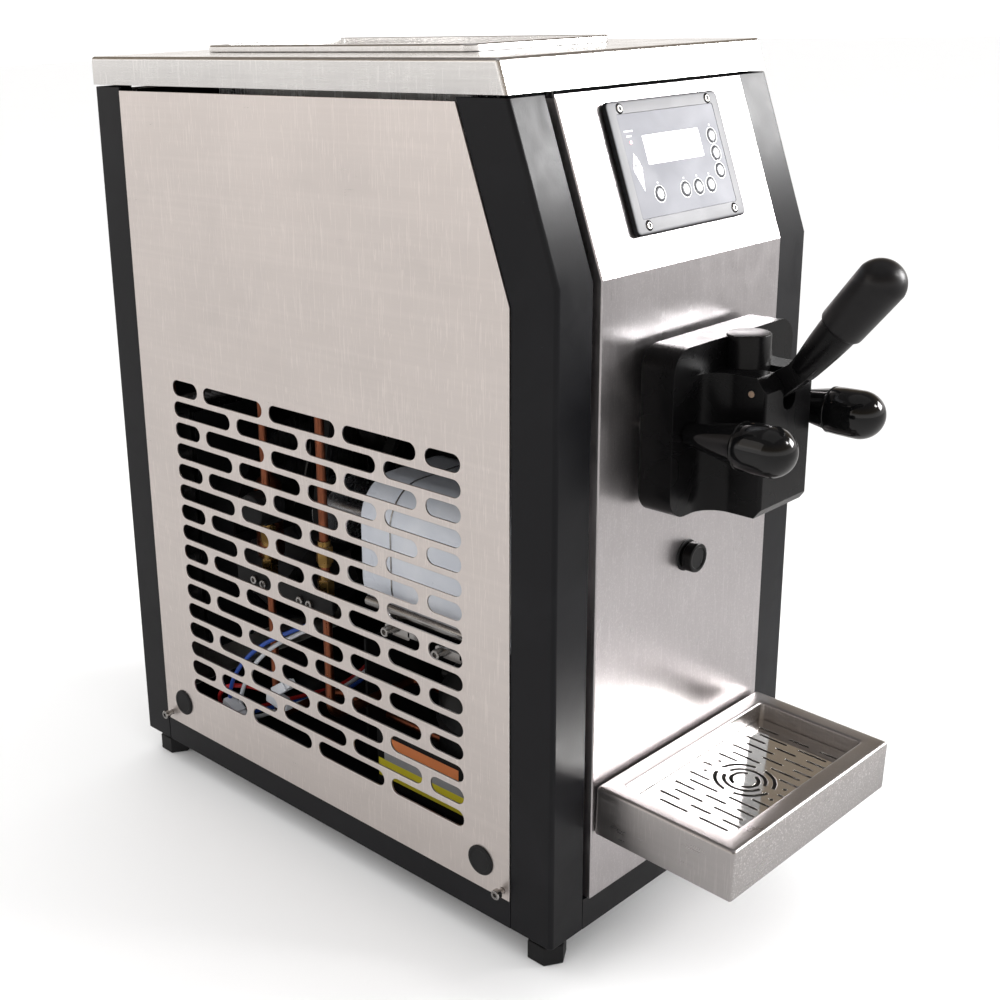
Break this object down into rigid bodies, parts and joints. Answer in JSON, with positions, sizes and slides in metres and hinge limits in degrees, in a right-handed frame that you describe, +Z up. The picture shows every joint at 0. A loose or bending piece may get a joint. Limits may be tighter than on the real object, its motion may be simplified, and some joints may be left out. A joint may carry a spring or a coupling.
{
  "type": "soft-serve ice cream maker",
  "caption": "Countertop soft-serve ice cream maker: slotted steel case on a black frame, hopper lid, sloped control unit, draw lever, hand nuts and drip tray.",
  "frame": {"origin": "centre of the bounding box, at the floor under the feet", "axes": "+Z up, the dispensing side faces -Y, +X to the right seen from the front"},
  "size_m": [0.278, 0.579, 0.578],
  "materials": {
    "black_powder": "fine orange-peel powder coat",
    "side_steel": "vertical brushed grain",
    "front_steel": "fine brushed grain",
    "cover_steel": "fine brushed grain",
    "hopper_steel": "deep-drawn satin steel",
    "grid_steel": "mirror polished sheet",
    "fastener_steel": "bright zinc and stainless fasteners",
    "machined_steel": "turned steel",
    "black_gloss": "polished moulding",
    "black_satin": "satin machined plastic",
    "white_plastic": "natural acetal",
    "control_shell": "silver-grey moulding",
    "membrane_grey": "printed polyester membrane",
    "display_clear": "pale clear window",
    "key_grey": "domed keys with a pale ring",
    "black_rubber": "moulded rubber",
    "copper": "drawn copper tube",
    "foam": "rigid insulation foam",
    "white_paint": "white enamel",
    "grey_paint": "hammered grey enamel",
    "black_paint": "semi-gloss black enamel",
    "aluminium_fins": "pressed fins",
    "black_inlet": "moulded inlet with plated pins",
    "case_grey": "zinc-plated box",
    "cable": "plastic covered cable"
  },
  "bodies": {
    "chassis": {"front_left_post": "black_powder", "front_right_post": "black_powder", "rear_left_post": "black_powder", "rear_right_post": "black_powder", "base_pan": "black_powder", "left_side_panel": "side_steel", "right_side_panel": "side_steel", "back_panel": "side_steel", "front_panel": "front_steel", "top_cover": "cover_steel", "hopper_tank": "hopper_steel", "freezing_cylinder": "hopper_steel", "panel_screws": "fastener_steel", "control_screws": "fastener_steel", "door_studs": "fastener_steel", "lever_pin": "fastener_steel", "hole_plugs": "black_gloss", "freezer_door": "black_satin", "feet": "black_satin", "control_housing": "control_shell", "control_membrane": "membrane_grey", "display_window": "display_clear", "door_gasket": "black_rubber", "drive_belt": "black_rubber", "evaporator_coil": "copper", "suction_line": "copper", "hot_gas_line": "copper", "filter_drier": "copper", "insulation_jacket": "foam", "drive_motor": "white_paint", "gearbox": "grey_paint", "compressor": "black_paint", "fan_shroud": "black_paint", "condenser": "aluminium_fins", "power_inlet": "black_inlet", "control_case": "case_grey", "wire_harness": "cable"},
    "lid": {"hopper_lid": "cover_steel"},
    "beater_unit": {"beater": "machined_steel", "scraper_blades": "white_plastic", "drive_shaft": "machined_steel"},
    "gearbox_pulley_unit": {"gearbox_pulley": "machined_steel"},
    "motor_pulley_unit": {"motor_pulley": "machined_steel"},
    "fan": {"fan_blade": "aluminium_fins"},
    "lever": {"draw_lever": "black_satin", "lever_grip": "black_gloss"},
    "piston": {"draw_piston": "black_satin"},
    "left_nut": {"left_hand_nut": "black_gloss"},
    "right_nut": {"right_hand_nut": "black_gloss"},
    "stopper": {"drain_cap": "black_satin"},
    "tray": {"drip_tray": "front_steel"},
    "grid": {"drip_grid": "grid_steel"},
    "key_upper_button": {"key_upper": "key_grey"},
    "key_middle_button": {"key_middle": "key_grey"},
    "key_lower_button": {"key_lower": "key_grey"},
    "key_power_button": {"key_power": "key_grey"},
    "key_down_button": {"key_down": "key_grey"},
    "key_up_button": {"key_up": "key_grey"},
    "key_enter_button": {"key_enter": "key_grey"}
  },
  "joints": [
    {"name": "beater_spin", "type": "hinge", "parent": "chassis", "child": "beater_unit", "pos_m": [0, -0.0543, 0.3552], "axis": [0, 1, 0], "continuous": true},
    {"name": "gearbox_pulley_spin", "type": "hinge", "parent": "chassis", "child": "gearbox_pulley_unit", "pos_m": [0, 0.1217, 0.3552], "axis": [0, 1, 0], "continuous": true},
    {"name": "motor_pulley_spin", "type": "hinge", "parent": "chassis", "child": "motor_pulley_unit", "pos_m": [-0.045, 0.1217, 0.235], "axis": [0, 1, 0], "continuous": true},
    {"name": "fan_spin", "type": "hinge", "parent": "chassis", "child": "fan", "pos_m": [0, 0.2157, 0.2], "axis": [0, 1, 0], "continuous": true},
    {"name": "lever_pull", "type": "hinge", "parent": "chassis", "child": "lever", "pos_m": [0, -0.2148, 0.3788], "axis": [1, 0, 0], "range_deg": [0, 40]},
    {"name": "piston_rise", "type": "slide", "parent": "chassis", "child": "piston", "axis": [0, 0, 1], "range_m": [0, 0.0135]},
    {"name": "left_nut_turn", "type": "hinge", "parent": "chassis", "child": "left_nut", "pos_m": [-0.05, -0.2143, 0.3552], "axis": [0, -1, 0], "continuous": true},
    {"name": "right_nut_turn", "type": "hinge", "parent": "chassis", "child": "right_nut", "pos_m": [0.05, -0.2143, 0.3552], "axis": [0, -1, 0], "continuous": true},
    {"name": "lid_lift", "type": "slide", "parent": "chassis", "child": "lid", "axis": [0, 0, 1], "range_m": [0, 0.12]},
    {"name": "tray_pull", "type": "slide", "parent": "chassis", "child": "tray", "axis": [0, -0.9994, -0.0349], "range_m": [0, 0.06]},
    {"name": "grid_lift", "type": "slide", "parent": "tray", "child": "grid", "axis": [0, -0.0349, 0.9994], "range_m": [0, 0.05]},
    {"name": "stopper_pull", "type": "slide", "parent": "chassis", "child": "stopper", "axis": [0, -1, 0], "range_m": [0, 0.03]},
    {"name": "key_upper_press", "type": "slide", "parent": "chassis", "child": "key_upper_button", "axis": [0, 0.9422, -0.335], "range_m": [0, 0.0008], "stiffness_N_per_m": 500, "springref_m": -0.0005},
    {"name": "key_middle_press", "type": "slide", "parent": "chassis", "child": "key_middle_button", "axis": [0, 0.9422, -0.335], "range_m": [0, 0.0008], "stiffness_N_per_m": 500, "springref_m": -0.0005},
    {"name": "key_lower_press", "type": "slide", "parent": "chassis", "child": "key_lower_button", "axis": [0, 0.9422, -0.335], "range_m": [0, 0.0008], "stiffness_N_per_m": 500, "springref_m": -0.0005},
    {"name": "key_power_press", "type": "slide", "parent": "chassis", "child": "key_power_button", "axis": [0, 0.9422, -0.335], "range_m": [0, 0.0008], "stiffness_N_per_m": 500, "springref_m": -0.0005},
    {"name": "key_down_press", "type": "slide", "parent": "chassis", "child": "key_down_button", "axis": [0, 0.9422, -0.335], "range_m": [0, 0.0008], "stiffness_N_per_m": 500, "springref_m": -0.0005},
    {"name": "key_up_press", "type": "slide", "parent": "chassis", "child": "key_up_button", "axis": [0, 0.9422, -0.335], "range_m": [0, 0.0008], "stiffness_N_per_m": 500, "springref_m": -0.0005},
    {"name": "key_enter_press", "type": "slide", "parent": "chassis", "child": "key_enter_button", "axis": [0, 0.9422, -0.335], "range_m": [0, 0.0008], "stiffness_N_per_m": 500, "springref_m": -0.0005}
  ],
  "couplings": [
    {"joint": "gearbox_pulley_spin", "follows": "beater_spin", "ratio": 4},
    {"joint": "motor_pulley_spin", "follows": "beater_spin", "ratio": 8},
    {"joint": "piston_rise", "follows": "lever_pull", "m_per_rad": 0.01911}
  ]
}
